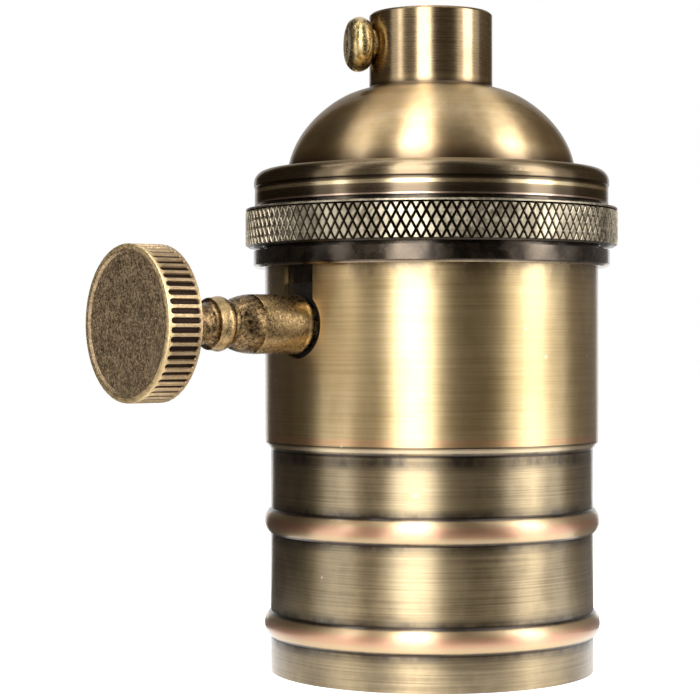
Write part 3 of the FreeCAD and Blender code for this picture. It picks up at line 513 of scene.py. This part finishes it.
def cap_brass():
    """Turned brass with brown tarnish, darker on the flange's skirt and the neck, with a painted shadow
    line round the neck's foot and painted shade and highlights in lines round the flange.
    """
    s = start_finish("cap_brass")
    place = s.use(axis_group, {"Point": s.point})
    radius, height = place["Radius"], place["Height"]
    lines = s.use(brushing, {"Point": s.point, "Fineness": 6.0, "Length": 45.0})["Lines"]
    mist = s.use(clouds, {"Point": s.point, "Size": 7.0, "Stretch": 1.3})
    colour = s.blend(lines, rgb(0.44, 0.31, 0.15), rgb(0.72, 0.56, 0.33))
    colour = s.tint(mist["Clouds"], 0.5, colour, rgb(0.28, 0.16, 0.065))
    dome_foot = s.times(s.ramp(height, CAP_FLANGE_TOP + 2.2, CAP_FLANGE_TOP),
                        s.ramp(radius, DOME_FOOT_R + 0.3, DOME_FOOT_R))
    colour = s.tint(dome_foot, 0.85, colour, rgb(0.075, 0.048, 0.032))
    # Painted shadow line round the neck's foot.
    neck_foot_shadow = s.ramp(s.away(height, NECK_FOOT_Z), 0.9, 0.1)
    colour = s.tint(neck_foot_shadow, 0.75, colour, rgb(0.06, 0.04, 0.03))
    skirt = s.times(s.ramp(radius, DOME_FOOT_R + 0.6, DOME_FOOT_R + 1.0),
                    s.ramp(height, CAP_FLANGE_TOP + 0.4, CAP_FLANGE_TOP - 0.6))
    colour = s.tint(skirt, 0.85, colour, rgb(0.10, 0.074, 0.045))
    neck = s.ramp(height, NECK_FOOT_Z + 0.3, NECK_FOOT_Z + 1.2)
    colour = s.tint(neck, 0.5, colour, rgb(0.15, 0.11, 0.07))
    hem = s.times(skirt, s.ramp(height, CAP_LINE_Z - 0.6, CAP_LINE_Z - 1.2))
    colour = s.tint(hem, 0.6, colour, rgb(0.07, 0.05, 0.035))
    # Lines round the flange, as (drop below the turned line, half width, paint): painted shade in the
    # turned groove, a painted highlight along a small bead below it, and a painted reflection on the
    # bottom edge's chamfer.
    flange_lines_painted_light = ((0.0, 0.26, (0.03, 0.02, 0.012)), (0.52, 0.26, (0.74, 0.60, 0.36)),
                    (1.82, 0.13, (0.62, 0.45, 0.34)))
    for drop, half, paint in flange_lines_painted_light:
        share = s.times(skirt, 0.8)
        colour = thin_line(s, height, CAP_LINE_Z - drop, half, colour, rgb(*paint), share)
    polished = s.times(s.math("MAXIMUM", skirt, neck), 0.09)
    rough = s.minus(s.ramp(lines, 0.2, 0.8, 0.33, 0.41), polished)
    dress(s, colour, rough, lines, bump=0.12, depth=0.02)
    s.put(s.shader, {"Specular Tint": rgb(0.45, 0.40, 0.34)})
    brush(s, 0.9)
    lacquer(s, 0.25, 0.15)
    return s.material


def knurl_brass():
    """Greyish gold diamonds with black grooves."""
    s = start_finish("knurled_brass_finish")
    radius = s.use(axis_group, {"Point": s.point})["Radius"]
    mist = s.use(clouds, {"Point": s.point, "Size": 2.0, "Stretch": 1.0})
    colour = s.blend(mist["Clouds"], rgb(0.22, 0.185, 0.13), rgb(0.48, 0.42, 0.31))
    groove = s.ramp(radius, RING_R - 0.05, RING_R - 0.15)
    colour = s.tint(groove, 0.96, colour, rgb(0.040, 0.031, 0.023))
    dress(s, colour, s.ramp(mist["Mottle"], 0.0, 1.0, 0.32, 0.46), mist["Mottle"], bump=0.08, depth=0.02)
    lacquer(s, 0.2, 0.2)
    return s.material


def stem_point(s):
    """The object's point turned so that the stem's axis is Z."""
    turn = s.add("Mapping", {"Vector": s.point, "Rotation": (0, math.radians(90), 0)})
    moved = s.add("VectorMath", {0: turn.outputs[0], 1: (-STEM_Z, 0, 0)}, operation="ADD")
    return moved.outputs[0]


def knob_bronze():
    """Mottled dark bronze; rubbed gold edges, dark grooves, a patchy stem, and a painted shadow ring at
    the stem's end by the shell.
    """
    s = start_finish("knob_bronze")
    place = s.use(axis_group, {"Point": stem_point(s)})
    radius, along = place["Radius"], place["Height"]
    mist = s.use(clouds, {"Point": s.point, "Size": 1.1, "Stretch": 1.0})
    broad = s.use(clouds, {"Point": s.point, "Size": 5.0, "Stretch": 1.0})
    grain = s.noise(s.point, 4200.0, 2.0, 0.6)
    tone = s.plus(s.times(mist["Clouds"], 0.45), s.times(s.ramp(grain, 0.3, 0.7), 0.55))
    colour = s.blend(tone, rgb(0.17, 0.11, 0.065), rgb(0.60, 0.44, 0.27))
    colour = s.tint(broad["Clouds"], 0.35, colour, rgb(0.27, 0.23, 0.14))

    patch = s.ramp(s.noise(s.point, 2600.0, 3.0, 0.7), 0.36, 0.64)
    stem = s.blend(patch, rgb(0.060, 0.036, 0.020), rgb(0.25, 0.165, 0.075))
    sleeve = s.ramp(along, SLEEVE_END + 0.2, SLEEVE_END - 0.2, 0.0, 0.4)
    stem = s.blend(sleeve, stem, rgb(0.42, 0.285, 0.13))
    bead = s.times(s.ramp(s.away(along, STEM_BEAD), 1.0, 0.8), s.ramp(radius, 2.64, 2.76))
    stem = s.tint(bead, 0.6, stem, rgb(0.52, 0.37, 0.18))
    # Lines along the stem, as (place along the stem, half width, paint): a faint gold joint line, a gold
    # line near the sleeve's end, a painted shadow gap where the sleeve meets the shell, and a dark line
    # between the waist and the bead.
    stem_lines_with_painted_shadow = ((SLEEVE_END, 0.12, (0.30, 0.21, 0.11)), (19.35, 0.25, (0.60, 0.45, 0.24)),
                  (18.8, 0.30, (0.015, 0.010, 0.007)), (28.5, 0.18, (0.02, 0.012, 0.008)))
    for middle, half, paint in stem_lines_with_painted_shadow:
        stem = thin_line(s, along, middle, half, stem, rgb(*paint), 0.8)
    on_stem_share = s.ramp(along, KNOB_BACK, KNOB_BACK - 0.3)
    colour = s.blend(on_stem_share, colour, stem)

    rim = s.times(s.math("GREATER_THAN", along, KNOB_BACK + 0.2),
                  s.math("LESS_THAN", along, KNOB_FACE - 0.2))
    rim = s.times(rim, s.math("GREATER_THAN", radius, KNOB_R - 0.5))
    groove = s.times(s.ramp(radius, KNOB_R - 0.08, KNOB_R - 0.24), rim)
    colour = s.tint(rim, 0.55, colour, rgb(0.18, 0.115, 0.065))
    colour = s.blend(groove, colour, rgb(0.020, 0.012, 0.009))
    polish = s.times(s.ramp(radius, KNOB_R - 0.62, KNOB_R - 0.45),
                     s.ramp(along, KNOB_FACE - 0.85, KNOB_FACE - 0.35, 0.25, 1.0))
    polish = s.times(polish, s.minus(1.0, groove))
    colour = s.tint(polish, 0.75, colour, rgb(0.80, 0.60, 0.32))
    rough = s.minus(s.ramp(mist["Mottle"], 0.0, 1.0, 0.36, 0.52), s.times(on_stem_share, 0.12))
    dress(s, colour, rough, mist["Mottle"], bump=0.25, depth=0.05)
    return s.material


def plain_metal(name, dark, light, rough, size=3.0):
    """Inner metal part: softly clouded colour with fine grain."""
    s = start_finish(name)
    mist = s.use(clouds, {"Point": s.point, "Size": size, "Stretch": 1.0})
    colour = s.blend(mist["Clouds"], rgb(*dark), rgb(*light))
    rough = s.ramp(mist["Mottle"], 0.0, 1.0, rough - 0.06, rough + 0.06)
    dress(s, colour, rough, mist["Mottle"], bump=0.06)
    return s.material


def moulded(name, dark, light, rough):
    """Moulded insulator: mottled, not metallic."""
    s = start_finish(name)
    mist = s.use(clouds, {"Point": s.point, "Size": 1.4, "Stretch": 1.0})
    colour = s.blend(mist["Mottle"], rgb(*dark), rgb(*light))
    rough = s.ramp(mist["Clouds"], 0.0, 1.0, rough - 0.08, rough + 0.08)
    dress(s, colour, rough, mist["Mottle"], metal=0.0, bump=0.08)
    s.put(s.shader, {"Specular IOR Level": 0.2})
    return s.material


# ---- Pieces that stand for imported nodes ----
def outline(shape, points):
    """Open line of (radius, height) points in millimetres, ready to spin."""
    dots = [shape.verts.new((r * MM, 0, z * MM)) for r, z in points]
    return dots + [shape.edges.new(pair) for pair in zip(dots, dots[1:])]


def spin_round(shape, line, steps):
    """Turn a line once round Z and close it on itself."""
    bmesh.ops.spin(shape, geom=line, cent=(0, 0, 0), axis=(0, 0, 1), angle=2 * math.pi, steps=steps,
                   use_merge=True)


def repeat_round(shape, geom, count):
    """Copies of a patch all the way round Z."""
    bmesh.ops.spin(shape, geom=geom, cent=(0, 0, 0), axis=(0, 0, 1),
                   angle=2 * math.pi * (count - 1) / count, steps=count - 1, use_duplicate=True)


def patch_face(shape, corners):
    """Single face with its normal worked out, ready to inset."""
    face = shape.faces.new([shape.verts.new(c) for c in corners])
    face.normal_update()
    return face


def inset(shape, face, width, depth=0.0):
    """Draw a face in and lift it along its normal, in millimetres; returns the faces made."""
    return bmesh.ops.inset_region(shape, faces=[face], thickness=width * MM, depth=depth * MM,
                                  use_even_offset=True, use_boundary=True)["faces"]


def finished(name, shape, material, body, node, crease):
    """Close the mesh, smooth it, and let it ride in its node's place."""
    bmesh.ops.remove_doubles(shape, verts=shape.verts, dist=0.004 * MM)
    bmesh.ops.recalc_face_normals(shape, faces=shape.faces)
    mesh = bpy.data.meshes.new(name)
    shape.to_mesh(mesh)
    shape.free()
    mesh.shade_smooth()
    mesh.set_sharp_from_angle(angle=math.radians(crease))
    mesh.materials.append(material)
    piece = bpy.data.objects.new(name, mesh)
    bpy.context.scene.collection.objects.link(piece)
    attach(piece, body)
    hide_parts(node)


def raised(shape, corners, steps):
    """Patch whose middle is lifted in steps of (inset, depth) in millimetres."""
    face = patch_face(shape, corners)
    patch = {face}
    for width, depth in steps:
        patch.update(inset(shape, face, width, depth))
    geom = set(patch)
    for f in patch:
        geom.update(f.verts)
        geom.update(f.edges)
    return list(geom)


def knurled_piece(material):
    """Ring with crossed grooves, a plain lip on top and a fine chamfer below."""
    root = RING_R - KNURL_DEEP
    bore = RING_R - RING_WALL
    foot, lip = RING_FOOT + 0.10, RING_TOP - 0.30
    half = (lip - foot) / 4                     # half a diamond's height
    shape = bmesh.new()

    def at(column, level):
        turn = 2 * math.pi * column / COLUMNS
        return (root * MM * math.cos(turn), root * MM * math.sin(turn), (foot + level * half) * MM)

    geom = []
    for column, level in ((0, 1), (0.5, 2), (0, 3)):
        corners = [at(column + 0.5, level), at(column, level + 1),
                   at(column - 0.5, level), at(column, level - 1)]
        geom += raised(shape, corners, KNURL_STEPS)
    geom += raised(shape, [at(1, 0), at(0.5, 1), at(0, 0)], KNURL_STEPS)
    geom += raised(shape, [at(0, 4), at(0.5, 3), at(1, 4)], KNURL_STEPS)
    repeat_round(shape, geom, COLUMNS)
    plain_lip = [(root, lip), (RING_R - 0.03, lip + 0.06), (RING_R - 0.03, RING_TOP - 0.07),
                 (RING_R - 0.12, RING_TOP)]
    inside = [(bore + 0.2, RING_TOP), (bore, RING_TOP - 0.2), (bore, RING_FOOT + 0.2),
              (bore + 0.2, RING_FOOT)]
    chamfer = [(root - 0.1, RING_FOOT), (root, foot)]
    spin_round(shape, outline(shape, plain_lip + inside + chamfer), COLUMNS)
    finished("knurled_shade_ring", shape, material, "shade_ring", "knurled_ring", crease=25)


def grooved_rim(shape, low, high):
    """The knob's rim: one facet with its round-ended groove, repeated."""
    turn = math.pi / TEETH
    face = patch_face(shape, [(KNOB_R * MM * math.cos(a), KNOB_R * MM * math.sin(a), z * MM)
                              for a, z in ((-turn, low), (turn, low), (turn, high), (-turn, high))])
    inset(shape, face, GROOVE_INSET)
    bmesh.ops.bevel(shape, geom=list(face.verts), affect="VERTICES", offset=GROOVE_ROUND * MM,
                    segments=4, profile=0.5, material=-1)
    floor = max(shape.faces, key=lambda f: len(f.verts))
    for width, depth in GROOVE_STEPS:
        inset(shape, floor, width, depth)
    repeat_round(shape, shape.verts[:] + shape.edges[:] + shape.faces[:], TEETH)


def knob_piece(material):
    """Turned stem and disc, made about Z and then laid on the stem: their +Z becomes -X."""
    low, high = KNOB_BACK + RIM_MARGIN, KNOB_FACE - RIM_MARGIN
    shape = bmesh.new()
    grooved_rim(shape, low, high)
    hole_end = STEM_END + SHAFT_HOLE_DEEP
    shaft_hole = [(0, hole_end), (SHAFT_HOLE_R, hole_end), (SHAFT_HOLE_R, STEM_END)]
    sleeve = [(SLEEVE_R - 0.15, STEM_END), (SLEEVE_R, STEM_END + 0.15), (SLEEVE_R, SLEEVE_END - 0.1)]
    barrel = [(SLEEVE_R - 0.05, SLEEVE_END), (SLEEVE_R, 25.12), (3.12, 25.9), (2.98, 26.6), (2.8, 27.2),
              (2.5, 27.75)]
    waist = [(WAIST_R, 27.9), (WAIST_R, 28.4), (2.5, 28.58)]
    bead = [(2.74, 28.72), (2.89, 28.95), (2.94, 29.2), (2.91, 29.5), (2.83, 29.8), (2.79, 30.15),
            (2.76, 30.42)]
    necking = [(2.68, 30.5), (2.5, 30.56), (2.32, 30.7), (2.2, 30.9), (NECKING_R, 31.15),
               (NECKING_R, KNOB_BACK - 1.0)]
    flare = [(2.27, KNOB_BACK - 0.6), (2.55, KNOB_BACK - 0.2), (3.15, KNOB_BACK)]
    back = [(KNOB_R - 0.5, KNOB_BACK), (KNOB_R - 0.12, KNOB_BACK + 0.03), (KNOB_R, low)]
    edge = [(KNOB_R, high), (KNOB_R - 0.06, KNOB_FACE - 0.06), (KNOB_R - 0.30, KNOB_FACE)]
    sunk_face = [(KNOB_R - 0.62, KNOB_FACE), (KNOB_R - 0.78, KNOB_FACE - 0.10),
                 (KNOB_R - 0.92, KNOB_FACE - 0.2), (KNOB_R - 3.0, KNOB_FACE - FACE_SINK),
                 (0, KNOB_FACE - FACE_SINK)]
    stem = shaft_hole + sleeve + barrel + waist + bead + necking + flare
    phase = Matrix.Rotation(-math.pi / TEETH, 3, "Z")       # the profile starts at a facet's corner
    for points in (stem + back, edge + sunk_face):
        line = outline(shape, points)
        bmesh.ops.rotate(shape, verts=[d for d in line if isinstance(d, bmesh.types.BMVert)],
                         cent=(0, 0, 0), matrix=phase)
        spin_round(shape, line, TEETH)
    lay_down = Matrix.Rotation(math.radians(-90), 3, "Y")
    bmesh.ops.rotate(shape, verts=shape.verts, cent=(0, 0, 0), matrix=lay_down)
    bmesh.ops.translate(shape, verts=shape.verts, vec=(0, 0, STEM_Z))
    finished("toothed_knob", shape, material, "switch_knob", "knob", crease=32)


def finish_nodes():
    """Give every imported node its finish, then add the pieces that stand for two of them."""
    contact = plain_metal("contact_brass_finish", (0.55, 0.38, 0.15), (0.85, 0.66, 0.33), 0.28)
    steel = plain_metal("spring_steel_finish", (0.35, 0.35, 0.36), (0.62, 0.62, 0.63), 0.30)
    phenolic = moulded("black_phenolic", (0.004, 0.003, 0.0025), (0.012, 0.009, 0.007), 0.45)
    fibre = moulded("red_fibre", (0.16, 0.055, 0.03), (0.27, 0.10, 0.05), 0.75)
    screw = plain_metal("set_screw_brass", (0.24, 0.17, 0.075), (0.62, 0.48, 0.23), 0.30, 1.0)
    looks = {
        "shell": aged_shell(), "collar": dark_band_painted_shade(), "dome_cap": cap_brass(),
        "knurled_ring": knurl_brass(), "knob": knob_bronze(), "set_screw": screw,
        "lamp_body": phenolic, "switch_cover": phenolic, "rotor": phenolic, "cap_insulator": fibre,
        "index_spring": steel, "shaft_clip": steel, "switch_shaft": steel,
    }
    for name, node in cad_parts.items():
        for place in node.material_slots:
            place.material = looks.get(name, contact)
    knurled_piece(looks["knurled_ring"])
    knob_piece(looks["knob"])


bpy.context.scene.view_settings.view_transform = "Standard"
set_camera()
set_floor()
set_studio()
finish_nodes()
